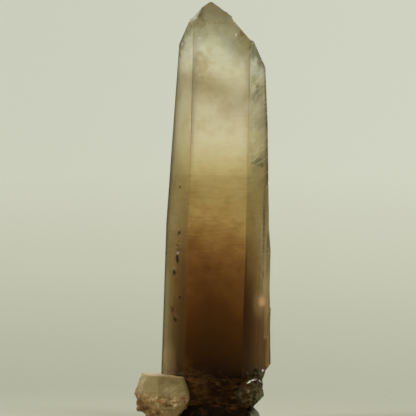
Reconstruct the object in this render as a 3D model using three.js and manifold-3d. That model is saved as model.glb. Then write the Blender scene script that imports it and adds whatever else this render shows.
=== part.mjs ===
// Smoky quartz point: a tapering quartz prism with its natural tip, grown together with a
// blocky feldspar crystal on a dark, iron-stained foot of rock that is cut off flat.
// Millimetres, +Z up. The origin is on the flat base, where the crystal's long axis meets it.
// The front of the crystal looks towards -Y.

import * as THREE from 'three';
import { ConvexGeometry } from 'three/addons/geometries/ConvexGeometry.js';
import { mergeVertices } from 'three/addons/utils/BufferGeometryUtils.js';
import Module from 'manifold-3d';

const wasm = await Module();
wasm.setup();

// ---- Driving dimensions, in millimetres and degrees ----

const LEAN = 1.6;                 // the long axis leans to the right by this much
const GAP = 0.3;                  // open seam between two minerals

// The prism. Azimuth 0 is the front face, and 90 would be the right-hand side.
const FRONT_WIDTH = 13.6;
const FRONT_REACH = 8.0;          // from the axis to the front face

// The three faces round the back lean in towards the tip, each one more steeply higher up.
// A reach is from the axis to the face, taken at the base.
const TAPERED_FACES = [
  { azimuth: 120, reach: 15.0, taper: 4.1 },
  { azimuth: 120, reach: 18.4, taper: 6.8 },
  { azimuth: 180, reach: 10.0, taper: 1.4 },
  { azimuth: 180, reach: 12.2, taper: 4.0 },
  { azimuth: 240, reach: 11.5, taper: 0.6 },
  { azimuth: 240, reach: 14.75, taper: 4.5 },
];
const ROOT_LEVEL = 3.0;           // the broken root of the prism, inside the rock

// The tip: three large rhombohedral faces meet at the apex, and three narrow ones between
// them stand a little past it. The left one cuts in deeper above a small shoulder.
const APEX = new THREE.Vector3(-2.85, -4.45, 100.1);
const TIP_RISE = 38.2;
const BACK_RIGHT_TIP_RISE = 40.5;
const BACK_LEFT_TIP_RISE = 35.5;
const PAST_APEX_RIGHT = 2.32;
const PAST_APEX_LEFT = 0.95;
const PAST_APEX_SHOULDER = 2.0;   // the left face below the shoulder
const PAST_APEX_BACK = 4.5;
const PAST_APEX_BACK_LEFT = 0.1;
const SHOULDER_LEVEL = 95.8;
const APEX_BLUNTING = 0.1;
const BLUNTING_RISE = 75;
const PLATE_ROOT = 1.0;           // how deep a growth plate is rooted in its face
const PLATE_RUN_OUT = 2;          // the slant at which its lower end runs out, in degrees

const BASE_SIZE = 60;             // side of the block that stands for everything above the cut

// ---- Limits of the arithmetic ----

const PARALLEL = 1e-6;            // three faces whose normals span less than this have no corner
const ON_FACE = 1e-5;             // a point this far out still counts as on a face
const SAME_CORNER = 1e-3;         // corners closer than this are one
const WELD = 1e-5;                // vertices closer than this are one
const SEED_STEP = 7919;           // keeps the random numbers of neighbouring seeds apart
const SHORTEST_RAY = 0.2;         // a shorter random ray has no clear direction

// ---- Small helpers ----

const radians = THREE.MathUtils.degToRad;

/** A unit normal that points out at an azimuth and rises above the level by an angle. */
function outward(azimuth, rise) {
  const turn = radians(azimuth);
  const up = radians(rise);
  return new THREE.Vector3(
    Math.sin(turn) * Math.cos(up),
    -Math.cos(turn) * Math.cos(up),
    Math.sin(up),
  );
}

/** One flat face: everything on its inner side has normal . point <= reach. */
function faceThrough(normal, point) {
  return { normal, reach: normal.dot(point) };
}

/** The corner where three faces meet, or null if two of them are parallel. */
function cornerOf(a, b, c) {
  const bc = new THREE.Vector3().crossVectors(b.normal, c.normal);
  const volume = a.normal.dot(bc);
  if (Math.abs(volume) < PARALLEL) {
    return null;
  }
  const ca = new THREE.Vector3().crossVectors(c.normal, a.normal);
  const ab = new THREE.Vector3().crossVectors(a.normal, b.normal);
  return bc.multiplyScalar(a.reach)
    .addScaledVector(ca, b.reach)
    .addScaledVector(ab, c.reach)
    .divideScalar(volume);
}

/** The closed crystal inside a set of flat faces, each pushed out by `swell`. */
function crystalInside(faces, swell = 0) {
  const pushed = faces.map(({ normal, reach }) => ({ normal, reach: reach + swell }));
  const corners = [];
  const known = (point) => corners.some((other) => other.distanceTo(point) < SAME_CORNER);
  const inside = (point) => pushed.every((face) => face.normal.dot(point) <= face.reach + ON_FACE);
  for (let i = 0; i < pushed.length; i += 1) {
    for (let j = i + 1; j < pushed.length; j += 1) {
      for (let k = j + 1; k < pushed.length; k += 1) {
        const corner = cornerOf(pushed[i], pushed[j], pushed[k]);
        if (corner && inside(corner) && !known(corner)) {
          corners.push(corner);
        }
      }
    }
  }
  return solidOf(new ConvexGeometry(corners));
}

/** A closed geometry as a solid that can be joined and cut. */
function solidOf(geometry) {
  const bare = geometry.clone();
  bare.deleteAttribute('normal');
  bare.deleteAttribute('uv');
  const merged = mergeVertices(bare, WELD);
  return new wasm.Manifold(new wasm.Mesh({
    numProp: 3,
    vertProperties: new Float32Array(merged.attributes.position.array),
    triVerts: new Uint32Array(merged.index.array),
  }));
}

/** A named mesh of a solid. */
function meshOf(name, solid, material) {
  const { vertProperties, triVerts } = solid.getMesh();
  const geometry = new THREE.BufferGeometry();
  geometry.setAttribute('position', new THREE.BufferAttribute(new Float32Array(vertProperties), 3));
  geometry.setIndex(new THREE.BufferAttribute(new Uint32Array(triVerts), 1));
  geometry.computeVertexNormals();
  const mesh = new THREE.Mesh(geometry, material);
  mesh.name = name;
  return mesh;
}

/** Seeded random numbers from -1 to 1. */
function randomFrom(seed) {
  let state = seed;
  return () => {
    state += 1;
    return THREE.MathUtils.seededRandom(state * SEED_STEP) * 2 - 1;
  };
}

/** A point in space from its place across, in depth and along the leaning axis. */
function inCrystal(across, depth, along) {
  const lean = radians(LEAN);
  return new THREE.Vector3(
    across * Math.cos(lean) + along * Math.sin(lean),
    depth,
    along * Math.cos(lean) - across * Math.sin(lean),
  );
}

/** A face of the leaning crystal, from a normal and a point in the crystal's own frame. */
function crystalFace(normal, point) {
  const leaned = inCrystal(normal.x, normal.y, normal.z);
  return faceThrough(leaned, inCrystal(point.x, point.y, point.z));
}

/** An angular lump: the hull of seeded points on an ellipsoid. */
function lump({ at, size, seed, corners = 18, swell = 0 }) {
  const next = randomFrom(seed);
  const points = [];
  while (points.length < corners) {
    const ray = new THREE.Vector3(next(), next(), next());
    if (ray.length() > SHORTEST_RAY && ray.length() < 1) {
      ray.normalize();
      points.push(new THREE.Vector3(
        at.x + ray.x * (size.x + swell),
        at.y + ray.y * (size.y + swell),
        at.z + ray.z * (size.z + swell),
      ));
    }
  }
  return solidOf(new ConvexGeometry(points));
}

/** The place, half sizes, seed and number of corners of one lump. */
function lumpAt([x, y, z], [wide, deep, tall], seed, corners) {
  const at = new THREE.Vector3(x, y, z);
  const size = new THREE.Vector3(wide, deep, tall);
  return { at, size, seed, corners };
}

/** The part of a solid that lies above the flat cut. */
function aboveCut(solid) {
  const block = new THREE.BoxGeometry(BASE_SIZE, BASE_SIZE, BASE_SIZE);
  block.translate(0, 0, BASE_SIZE / 2);
  return solid.intersect(solidOf(block));
}

/** Every seeded lump in a list, joined to a solid. */
function joinLumps(solid, lumps, swell = 0) {
  return lumps.reduce((whole, one) => whole.add(lump({ ...one, swell })), solid);
}

/** Every seeded lump in a list, cut out of a solid. */
function cutLumps(solid, lumps) {
  return lumps.reduce((rest, one) => rest.subtract(lump(one)), solid);
}

// ---- The quartz ----

const HALF_FRONT = FRONT_WIDTH / 2;
const SIDE_REACH = HALF_FRONT * Math.cos(radians(30)) + FRONT_REACH * Math.sin(radians(30));

/** A prism face at an azimuth. Its reach is taken at the base, and it leans in going up. */
function prismFace(azimuth, reach, taper = 0) {
  const foot = outward(azimuth, 0).multiplyScalar(reach);
  return crystalFace(outward(azimuth, taper), foot);
}

/** A face of the tip, which stands past the apex by a little or passes through it. */
function tipFace(azimuth, rise = TIP_RISE, past = 0) {
  const normal = outward(azimuth, rise);
  return crystalFace(normal, APEX.clone().addScaledVector(normal, past));
}

/** The prism and its tip, with the narrow left face of the tip and any further faces. */
function crystalWith(pastApexLeft, others, swell) {
  return crystalInside([
    prismFace(0, FRONT_REACH),
    prismFace(60, SIDE_REACH),
    prismFace(300, SIDE_REACH),
    ...TAPERED_FACES.map(({ azimuth, reach, taper }) => prismFace(azimuth, reach, taper)),
    tipFace(0),
    tipFace(60, TIP_RISE, PAST_APEX_RIGHT),
    tipFace(120, BACK_RIGHT_TIP_RISE),
    tipFace(180, TIP_RISE, PAST_APEX_BACK),
    tipFace(240, BACK_LEFT_TIP_RISE, PAST_APEX_BACK_LEFT),
    tipFace(300, TIP_RISE, pastApexLeft),
    tipFace(300, BLUNTING_RISE, -APEX_BLUNTING),
    faceThrough(new THREE.Vector3(0, 0, -1), new THREE.Vector3(0, 0, ROOT_LEVEL)),
    ...others,
  ], swell);
}

function prismAndTip(swell = 0) {
  const shoulder = crystalFace(outward(0, 90), new THREE.Vector3(0, 0, SHOULDER_LEVEL));
  return crystalWith(PAST_APEX_LEFT, [], swell)
    .add(crystalWith(PAST_APEX_SHOULDER, [shoulder], swell));
}

/** A place on the front-left face of the prism. */
function onLeftFace(across, along) {
  const depth = -FRONT_REACH + (across - HALF_FRONT) * Math.tan(radians(60));
  return inCrystal(-across, depth, along);
}

/**
 * A slim crystal grown on the right-hand edge of the prism: six faces round its own axis,
 * with a point at both ends.
 */
function sliver({ across, low, high, thick, proud = 0 }, swell = 0) {
  const depth = -FRONT_REACH + (across - HALF_FRONT) * Math.tan(radians(60));
  const foot = new THREE.Vector3(across, depth, 0).addScaledVector(outward(60, 0), proud);
  const faces = [];
  for (let azimuth = 0; azimuth < 360; azimuth += 60) {
    const side = outward(azimuth, 0);
    faces.push(crystalFace(side, foot.clone().addScaledVector(side, thick)));
    faces.push(crystalFace(outward(azimuth, TIP_RISE), foot.clone().setZ(high)));
    faces.push(crystalFace(outward(azimuth, -TIP_RISE), foot.clone().setZ(low)));
  }
  return crystalInside(faces, swell);
}

/**
 * A low growth plate on a tapered face of the prism: it stands a little proud of the face, has
 * the slants of the tip at its upper end, and runs out into the face at its lower end. A plate
 * as wide as its face steps the edges beside it too.
 */
function growthPlate({ azimuth, reach, taper, aside, low, high, width, proud }, swell = 0) {
  const onFace = (sideways, height) => outward(azimuth, 0)
    .multiplyScalar(reach - height * Math.tan(radians(taper)))
    .addScaledVector(outward(azimuth + 90, 0), aside + sideways)
    .setZ(height);
  const middle = (low + high) / 2;
  const outer = outward(azimuth, taper);
  const faces = [
    crystalFace(outer, onFace(0, middle).addScaledVector(outer, proud)),
    crystalFace(outward(azimuth, TIP_RISE), onFace(0, high)),
    crystalFace(outward(azimuth, -PLATE_RUN_OUT), onFace(0, low)),
    crystalFace(outward(azimuth + 180, 0), onFace(0, high).addScaledVector(outer, -PLATE_ROOT)),
  ];
  for (const side of [-1, 1]) {
    faces.push(crystalFace(outward(azimuth + side * 60, 0), onFace(side * width / 2, middle)));
    faces.push(crystalFace(outward(azimuth + side * 60, TIP_RISE), onFace(0, high)));
    faces.push(crystalFace(outward(azimuth + side * 60, -TIP_RISE), onFace(0, low)));
  }
  return crystalInside(faces, swell).intersect(prismAndTip(proud + swell));
}

// Slim crystals along the right-hand edge, from the highest to the lowest.
const SLIVERS = [
  { across: 11.4, low: 36, high: 57.3, thick: 0.6 },
  { across: 11.7, low: 28, high: 51, thick: 0.42, proud: 0.2 },
  { across: 12.3, low: 20, high: 44.6, thick: 0.62 },
  { across: 12.85, low: 13.5, high: 29, thick: 0.5 },
];

// Growth plates on the faces round the back.
const PLATES = [
  { azimuth: 180, reach: 12.2, taper: 4.0, aside: 1.5, low: 42, high: 71, width: 6.0, proud: 0.25 },
  { azimuth: 180, reach: 12.2, taper: 4.0, aside: -4.0, low: 45, high: 58, width: 13.0, proud: 0.2 },
  { azimuth: 180, reach: 10.0, taper: 1.4, aside: -1.5, low: 8, high: 37, width: 22.0, proud: 0.3 },
  { azimuth: 240, reach: 14.75, taper: 4.5, aside: -1.0, low: 50, high: 66, width: 6.4, proud: 0.16 },
  { azimuth: 240, reach: 11.5, taper: 0.6, aside: -2.2, low: 14, high: 33, width: 7.0, proud: 0.18 },
  { azimuth: 120, reach: 15.0, taper: 4.1, aside: 4.4, low: 22, high: 53, width: 4.6, proud: 0.2 },
  { azimuth: 120, reach: 18.4, taper: 6.8, aside: 3.2, low: 71, high: 80, width: 4.0, proud: 0.16 },
];

// Etched pits down the front-left face.
const PITS = [
  { across: 9.0, along: 56.0, wide: 0.3, tall: 0.35, seed: 3 },
  { across: 8.9, along: 45.2, wide: 0.35, tall: 0.75, seed: 5 },
  { across: 9.15, along: 40.9, wide: 0.32, tall: 0.6, seed: 7 },
  { across: 9.2, along: 38.9, wide: 0.5, tall: 1.5, seed: 11 },
  { across: 9.9, along: 35.7, wide: 0.42, tall: 0.8, seed: 13 },
  { across: 8.4, along: 29.8, wide: 0.35, tall: 0.6, seed: 17 },
  { across: 10.1, along: 26.9, wide: 0.5, tall: 0.9, seed: 19 },
  { across: 9.3, along: 24.6, wide: 0.55, tall: 0.8, seed: 23 },
].map(({ across, along, wide, tall, seed }) => ({
  at: onLeftFace(across, along),
  size: new THREE.Vector3(wide, wide, tall),
  seed,
  corners: 12,
}));

// Small chips knocked out of the edge between the front face and the right side of the tip.
const CHIPS = [
  { at: inCrystal(4.2, -8.0, 95.0), size: new THREE.Vector3(0.3, 0.35, 0.4), seed: 31 },
  { at: inCrystal(6.4, -7.9, 91.9), size: new THREE.Vector3(0.35, 0.4, 0.3), seed: 37 },
  { at: inCrystal(6.9, -7.9, 87.2), size: new THREE.Vector3(0.3, 0.3, 0.6), seed: 41 },
  { at: inCrystal(-6.9, -7.9, 80.1), size: new THREE.Vector3(0.25, 0.25, 0.5), seed: 43 },
];

// Where the lower right-hand corner of the prism has broken away: a slanting break above an
// upright one, and hollows in it. The foot below is undercut.
const BREAK_TOP = {
  point: new THREE.Vector3(13.94, 0, 13.75),
  into: new THREE.Vector3(-0.7, -0.05, 0.7),
};
const BREAK_SIDE = {
  point: new THREE.Vector3(12.1, 0, 8),
  into: new THREE.Vector3(-1, 0.03, 0.05),
};
const UNDERCUT = {
  point: new THREE.Vector3(9.8, 0, 4.2),
  into: new THREE.Vector3(-0.71, 0.05, 0.7),
};
const BREAKS = [
  lumpAt([12.9, 4.0, 9.6], [1.3, 3.0, 1.8], 59),
  lumpAt([12.0, 6.4, 5.4], [2.4, 3.4, 3.6], 61),
];

/** The space outside some slanting breaks, within a large cube round the origin. */
function brokenAway(breaks) {
  const sides = [[1, 0, 0], [-1, 0, 0], [0, 1, 0], [0, -1, 0], [0, 0, 1], [0, 0, -1]];
  return crystalInside([
    ...breaks.map(({ point, into }) => faceThrough(into.clone().normalize(), point)),
    ...sides.map((side) => ({ normal: new THREE.Vector3(...side), reach: BASE_SIZE / 2 })),
  ]);
}

// The knob and the small glassy crystals at the foot, joined to the prism.
const FOOT_LUMPS = [
  lumpAt([9.0, -4.4, 7.7], [3.1, 2.9, 3.3], 71, 34),
  lumpAt([10.2, -3.0, 6.9], [2.3, 2.6, 2.7], 73, 26),
  lumpAt([7.6, -5.6, 6.3], [1.9, 1.8, 2.1], 79),
  lumpAt([11.2, 0.2, 8.6], [1.4, 2.2, 2.5], 83),
  lumpAt([11.7, 0.6, 11.2], [1.0, 1.7, 1.2], 84),
  lumpAt([10.2, -1.6, 11.6], [1.3, 1.2, 1.0], 86),
  lumpAt([5.4, -7.5, 8.3], [1.5, 0.9, 1.7], 89),
  lumpAt([3.2, -7.6, 6.3], [1.9, 0.9, 1.5], 97),
  lumpAt([0.4, -7.6, 5.3], [2.1, 0.9, 1.2], 101),
  lumpAt([8.0, -5.7, 11.3], [0.9, 0.8, 0.9], 103),
  lumpAt([9.6, 4.2, 6.4], [2.6, 3.0, 2.7], 107),
  lumpAt([4.0, 9.0, 6.0], [3.2, 1.6, 2.4], 109),
  lumpAt([-4.0, 8.8, 5.6], [2.8, 1.7, 2.0], 113),
];

function quartzSolid(swell = 0) {
  let solid = prismAndTip(swell);
  for (const one of SLIVERS) {
    solid = solid.add(sliver(one, swell));
  }
  for (const one of PLATES) {
    solid = solid.add(growthPlate(one, swell));
  }
  solid = solid.subtract(brokenAway([BREAK_TOP, BREAK_SIDE]));
  if (swell === 0) {
    solid = cutLumps(solid, [...BREAKS, ...PITS, ...CHIPS]);
  }
  return joinLumps(solid, FOOT_LUMPS, swell).subtract(brokenAway([UNDERCUT]));
}

// ---- The feldspar ----

// The upper half is a block with two smooth cleavage faces in front. Its sides slant out
// going down as far as the waist, and the rough lower half draws in again.
const BLOCK_TOP = new THREE.Vector3(-16.0, 0, 12.05);
const BLOCK_TOP_SLOPE = 3.6;      // the top falls to the right
const BLOCK_SIDES = [
  { azimuth: -24, rise: 4, point: new THREE.Vector3(-13.4, -11.6, 9) },
  { azimuth: 9, rise: 5, point: new THREE.Vector3(-11.2, -11.8, 9) },
  { azimuth: 78, rise: 16, point: new THREE.Vector3(-6.2, -8, 11.2) },
  { azimuth: 180, rise: 6, point: new THREE.Vector3(-11, 2.4, 9) },
];
const BLOCK_LEFT_SIDES = [
  { azimuth: -80, rise: 13, point: new THREE.Vector3(-16.1, -4.6, 11) },
  { azimuth: -118, rise: 10, point: new THREE.Vector3(-16.5, 0.4, 10) },
];
const BLOCK_UNDERSIDES = [        // the lower one is hidden in the rough half
  { azimuth: -86, rise: -24, point: new THREE.Vector3(-18.3, -5, 7.6) },
  { azimuth: 90, rise: -24, point: new THREE.Vector3(-4.7, -8, 6.9) },
  { azimuth: 0, rise: -80, point: new THREE.Vector3(0, -11.6, 5.2) },
];

// Cleavage sheets down the left side: each one ends lower than the one inside it, in a
// slanting break.
const SHEETS = [
  { out: 0, drop: 0, slant: 0 },
  { out: 0.22, drop: 0.5, slant: 38 },
  { out: 0.4, drop: 1.7, slant: 30 },
  { out: 0.62, drop: 2.4, slant: 44 },
  { out: 0.8, drop: 3.8, slant: 34 },
];

/** The upper block, with its left side moved out and its top brought down for one sheet. */
function cleavageBlock({ out, drop, slant }, swell) {
  const outwards = new THREE.Vector3(-out, 0, 0);
  const top = BLOCK_TOP.clone().add(outwards).setZ(BLOCK_TOP.z - drop);
  const side = ({ azimuth, rise, point }) => faceThrough(outward(azimuth, rise), point);
  return crystalInside([
    ...BLOCK_SIDES.map(side),
    ...BLOCK_UNDERSIDES.map(side),
    ...BLOCK_LEFT_SIDES.map((one) => side({ ...one, point: one.point.clone().add(outwards) })),
    faceThrough(outward(90, 90 - BLOCK_TOP_SLOPE), BLOCK_TOP),
    faceThrough(outward(-90, 90 - slant), top),
  ], swell);
}

// The rough lower half. It bulges out below the smooth faces, and one large slanting break
// takes off its lower left, as far as a diagonal ridge across the front.
const FELDSPAR_LUMPS = [
  lumpAt([-11.4, -6.0, 4.8], [6.3, 6.7, 4.2], 127, 60),
  lumpAt([-14.6, -6.4, 5.2], [3.4, 5.6, 3.1], 131, 40),
  lumpAt([-8.2, -8.8, 5.2], [2.9, 3.7, 3.0], 139, 34),
  lumpAt([-12.2, -5.4, 1.0], [4.6, 6.0, 3.4], 149, 36),
  lumpAt([-13.0, -0.8, 4.2], [3.8, 3.6, 4.0], 151, 30),
];
const LOWER_BREAK = {
  point: new THREE.Vector3(-16.2, -12.0, 7.2),
  into: new THREE.Vector3(0.588, 0.371, 0.72),
};
const LEFT_CRUMBS = [
  lumpAt([-16.5, -5.6, 5.0], [1.6, 2.6, 1.3], 137, 24),
  lumpAt([-16.5, -6.4, 3.9], [1.5, 2.2, 1.0], 157, 24),
];

function feldsparSolid(swell = 0) {
  const [first, ...rest] = SHEETS;
  const block = rest.reduce(
    (whole, sheet) => whole.add(cleavageBlock(sheet, swell)),
    cleavageBlock(first, swell),
  );
  const rough = joinLumps(block, FELDSPAR_LUMPS, swell).subtract(brokenAway([LOWER_BREAK]));
  return aboveCut(joinLumps(rough, LEFT_CRUMBS, swell));
}

// ---- The dark rock ----

const ROCK_LUMPS = [
  lumpAt([0.6, 0, 1.2], [9.8, 9.4, 3.4], 211, 60),
  lumpAt([-4.6, -8.2, 2.4], [3.2, 2.4, 3.0], 223, 28),
  lumpAt([-1.4, -8.8, 1.8], [3.2, 1.9, 3.2], 227, 28),
  lumpAt([2.6, -8.4, 2.0], [3.4, 2.2, 3.0], 229, 28),
  lumpAt([6.4, -7.2, 1.8], [3.4, 2.6, 2.8], 233, 28),
  lumpAt([9.0, -4.6, 1.6], [2.5, 3.2, 2.8], 239, 28),
  lumpAt([9.0, 1.2, 1.2], [2.6, 4.0, 2.8], 241, 28),
  lumpAt([6.6, 6.4, 1.8], [4.2, 3.4, 3.2], 251, 28),
  lumpAt([-0.6, 8.0, 1.8], [4.8, 3.2, 3.4], 257, 28),
  lumpAt([-7.0, 6.2, 1.6], [4.2, 4.0, 3.6], 263, 28),
  lumpAt([-9.2, 2.6, 1.4], [3.2, 3.2, 3.0], 269, 28),
];

function rockSolid() {
  const [first, ...rest] = ROCK_LUMPS;
  const rock = joinLumps(lump(first), rest);
  return aboveCut(rock)
    .subtract(quartzSolid(GAP))
    .subtract(feldsparSolid(GAP));
}

// ---- The specimen ----

const quartzMaterial = new THREE.MeshStandardMaterial({ color: 0x9c8353, roughness: 0.15, metalness: 0 });
const feldsparMaterial = new THREE.MeshStandardMaterial({ color: 0xb9a67c, roughness: 0.6, metalness: 0 });
const rockMaterial = new THREE.MeshStandardMaterial({ color: 0x2b1d12, roughness: 0.85, metalness: 0 });

const group = new THREE.Group();
group.add(meshOf('quartz_point', quartzSolid(), quartzMaterial));
group.add(meshOf('feldspar_crystal', feldsparSolid().subtract(quartzSolid(GAP)), feldsparMaterial));
group.add(meshOf('dark_matrix', rockSolid(), rockMaterial));

export default group;
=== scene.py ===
# %% [markdown]
# # A smoky quartz point on its foot of rock
# The specimen has three pieces: a see-through quartz crystal, a blocky feldspar crystal and
# the dark rock that both grow from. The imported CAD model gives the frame: where each piece
# is and how large. This lesson gives each piece a fine surface and its finish.

# %% The frame
import math

import bmesh
import bpy
import numpy as np
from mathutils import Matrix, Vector


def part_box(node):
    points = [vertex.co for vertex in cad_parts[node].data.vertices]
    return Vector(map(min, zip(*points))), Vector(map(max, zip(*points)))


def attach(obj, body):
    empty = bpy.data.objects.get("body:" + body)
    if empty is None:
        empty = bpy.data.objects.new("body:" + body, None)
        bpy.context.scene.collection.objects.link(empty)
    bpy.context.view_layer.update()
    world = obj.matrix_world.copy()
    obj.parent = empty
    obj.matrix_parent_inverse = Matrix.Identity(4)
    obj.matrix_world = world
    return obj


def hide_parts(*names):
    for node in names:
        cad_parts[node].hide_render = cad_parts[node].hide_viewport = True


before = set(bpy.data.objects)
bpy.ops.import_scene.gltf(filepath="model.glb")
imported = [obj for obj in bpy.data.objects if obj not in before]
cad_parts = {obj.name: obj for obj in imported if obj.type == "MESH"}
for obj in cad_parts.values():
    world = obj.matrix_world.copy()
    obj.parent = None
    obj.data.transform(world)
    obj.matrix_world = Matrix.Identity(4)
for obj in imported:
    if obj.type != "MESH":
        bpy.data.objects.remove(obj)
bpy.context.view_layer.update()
MM = 0.001


def add_object(name, data):
    """A new object in the scene that shows a mesh, a lamp or a camera."""
    made = bpy.data.objects.new(name, data)
    bpy.context.scene.collection.objects.link(made)
    return made


# %% [markdown]
# ## Flat faces as numbers
# A crystal is the space inside a set of flat faces. Each face is a normal and a reach: a
# point is inside when normal . point is at most the reach. Kept this way, a crystal can be
# cut or joined by arithmetic, and its faces stay truly flat.
# Azimuth 0 looks to the front (-Y) and 90 to the right; rise is the slant above the level.
# Everything here is in millimetres in the crystal's own frame: across, depth, along.


# %% Faces and the crystal's frame
def outward(azimuth, rise=0.0):
    """A unit normal: (sin a cos r, -cos a cos r, sin r)."""
    turn, up = math.radians(azimuth), math.radians(rise)
    return np.array([math.sin(turn) * math.cos(up), -math.cos(turn) * math.cos(up), math.sin(up)])


def face(normal, point):
    """A flat face through a point, as the four numbers normal x, y, z and reach."""
    normal = np.asarray(normal, float) / np.linalg.norm(normal)
    return np.array([*normal, normal @ np.asarray(point, float)])


LEAN_DEGREES = 1.6  # the long axis leans to the right
LEAN = math.radians(LEAN_DEGREES)
ALONG = np.array([math.sin(LEAN), 0.0, math.cos(LEAN)])
ACROSS = np.array([math.cos(LEAN), 0.0, -math.sin(LEAN)])
TO_CRYSTAL = np.array([ACROSS, [0.0, 1.0, 0.0], ALONG])


def upright_face(normal, point):
    """A face given in the upright frame, turned into the leaning crystal's frame."""
    return face(TO_CRYSTAL @ np.asarray(normal, float), TO_CRYSTAL @ np.asarray(point, float))


print("the long axis leans", LEAN_DEGREES, "degrees: a step along it is", ALONG.round(3))

# %% [markdown]
# ## The prism and its tip
# Quartz grows as a six-sided prism. Faces at 0, 60 and 300 degrees are upright and smooth;
# the three at the back lean in towards the tip, more steeply higher up. Three large tip
# faces meet at the apex, three narrow ones between them stand a little past it, and one
# steep face trims the apex on its left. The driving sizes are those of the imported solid,
# so the fine surface fits it.

# %% Sizes of the prism and its tip
FRONT_WIDTH = 13.6
FRONT_REACH = 8.0
HALF_FRONT = FRONT_WIDTH / 2
SIDE_REACH = HALF_FRONT * math.cos(math.radians(30)) + FRONT_REACH * math.sin(math.radians(30))
TAPERED_FACES = [  # azimuth, reach at the base, taper in degrees
    (120, 15.0, 4.1), (120, 18.4, 6.8),
    (180, 10.0, 1.4), (180, 12.2, 4.0),
    (240, 11.5, 0.6), (240, 14.75, 4.5),
]
APEX = np.array([-2.85, -4.45, 100.1])
TIP_RISE = 38.2
PAST_APEX_RIGHT = 2.32  # the narrow faces beside the front one
PAST_APEX_LEFT = 0.95
PAST_APEX_SHOULDER = 2.0  # the left one again, below the shoulder
TIP_FACES = [  # azimuth, rise, distance past the apex
    (0, TIP_RISE, 0.0), (60, TIP_RISE, PAST_APEX_RIGHT), (120, 40.5, 0.0),
    (180, TIP_RISE, 4.5), (240, 35.5, 0.1), (300, 75, -0.1),
]
SHOULDER_LEVEL = 95.8


def prism_faces(past_left=PAST_APEX_LEFT):
    """The faces of the prism and the tip, with the narrow left face past the apex."""
    prism = [(0, FRONT_REACH, 0.0), (60, SIDE_REACH, 0.0), (300, SIDE_REACH, 0.0), *TAPERED_FACES]
    faces = [face(outward(a, taper), outward(a) * reach) for a, reach, taper in prism]
    for azimuth, rise, past in [*TIP_FACES, (300, TIP_RISE, past_left)]:
        normal = outward(azimuth, rise)
        faces.append(face(normal, APEX + normal * past))
    return np.array(faces)


def shoulder_faces():
    """The same crystal with a wider left side, as far up as the shoulder."""
    top = face((0, 0, 1), (0, 0, SHOULDER_LEVEL))
    return np.concatenate([prism_faces(PAST_APEX_SHOULDER), [top]])


print("prism and tip:", len(prism_faces()), "faces")

# %% [markdown]
# ## Looking out from the axis
# The fine surface is a grid: one parameter climbs the axis, the other goes round it. From
# the axis, a straight look outwards meets a convex body between an entry and an exit
# distance, and both come from its faces by one division each. The exit from the prism is
# the crystal's radius. A body joined to it takes the larger exit, a body cut from it takes
# the smaller entry.


# %% Entry and exit distances
LEVEL = 1e-9  # a ray this even with a face runs along it
CORE = 0.2  # no break comes nearer to the axis than this


def meet(faces, start, ray):
    """Entry and exit distance of each ray through a convex body; exit < entry is a miss."""
    rate = ray @ faces[:, :3].T
    room = faces[:, 3] - start @ faces[:, :3].T
    with np.errstate(divide="ignore", invalid="ignore"):
        distance = room / rate
    leave = np.where(rate > LEVEL, distance, np.inf).min(-1)
    enter = np.where(rate < -LEVEL, distance, -np.inf).max(-1)
    outside = ((np.abs(rate) <= LEVEL) & (room < 0)).any(-1)
    return np.where(outside, np.inf, enter), np.where(outside, -np.inf, leave)


def joined(radius, faces, start, ray):
    """The radius with a convex body joined on: the larger exit, where the ray meets it."""
    enter, leave = meet(faces, start, ray)
    return np.where((leave > enter) & (leave > 0), np.maximum(radius, leave), radius)


def cut(radius, faces, start, ray):
    """The radius with a body cut away that goes on outwards: the smaller entry."""
    enter, leave = meet(faces, start, ray)
    kept = np.minimum(radius, np.maximum(enter, CORE))
    return np.where((leave > enter) & (leave > 0), kept, radius)


_, halfway = meet(prism_faces(), np.array([0.0, 0.0, 50.0]), outward(0))
print("from the axis to the front face, halfway up:", round(float(halfway), 2), "mm")

# %% [markdown]
# ## Growths on the prism
# Slim crystals stand along the right-hand edge. Each is a small convex body with its own
# six sides. Two have nearly the slants of the large tip, as parallel growths have, and
# two run out in a slender end. The left face has a column of small etched pits. The low
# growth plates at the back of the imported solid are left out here, because through clear
# quartz their rims would show as dark scratches.

# %% Slim crystals and etched pits
SLIVERS = [  # across, low and high end, thickness, proud, end's rise
    (11.4, 36, 57.3, 0.6, 0.0, 38), (11.7, 28, 51, 0.42, 0.2, 38),
    (12.3, 20, 48.0, 0.62, 0.0, 5.5), (12.85, 13.5, 29, 0.5, 0.0, 20),
]
PITS = [  # on the left: across, along, width, height
    (9.0, 56.0, 0.3, 0.35), (8.9, 45.2, 0.35, 0.75), (9.15, 40.9, 0.32, 0.6),
    (9.2, 38.9, 0.5, 1.5), (9.9, 35.7, 0.42, 0.8), (8.4, 29.8, 0.35, 0.6),
    (10.1, 26.9, 0.5, 0.9), (9.3, 24.6, 0.55, 0.8),
]


def sliver_faces(across, low, high, thick, proud, rise):
    """Six faces round a slim crystal's own axis, and six at each end that slant by a rise."""
    depth = -FRONT_REACH + (across - HALF_FRONT) * math.tan(math.radians(60))
    foot = np.array([across, depth, 0.0]) + outward(60) * proud
    faces = []
    for azimuth in range(0, 360, 60):
        faces.append(face(outward(azimuth), foot + outward(azimuth) * thick))
        faces.append(face(outward(azimuth, rise), foot + [0, 0, high]))
        faces.append(face(outward(azimuth, -TIP_RISE), foot + [0, 0, low]))
    return np.array(faces)


print(len(SLIVERS), "slim crystals and", len(PITS), "pits")

# %% [markdown]
# ## The broken corner and the foot
# Low on the right the corner of the prism has broken away, and the crystal stands on a
# crowd of small glassy crystals with one round knob among them. A lump is a set of flat
# faces that touch an egg shape at seeded places, so it has facets like a real break.

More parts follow.
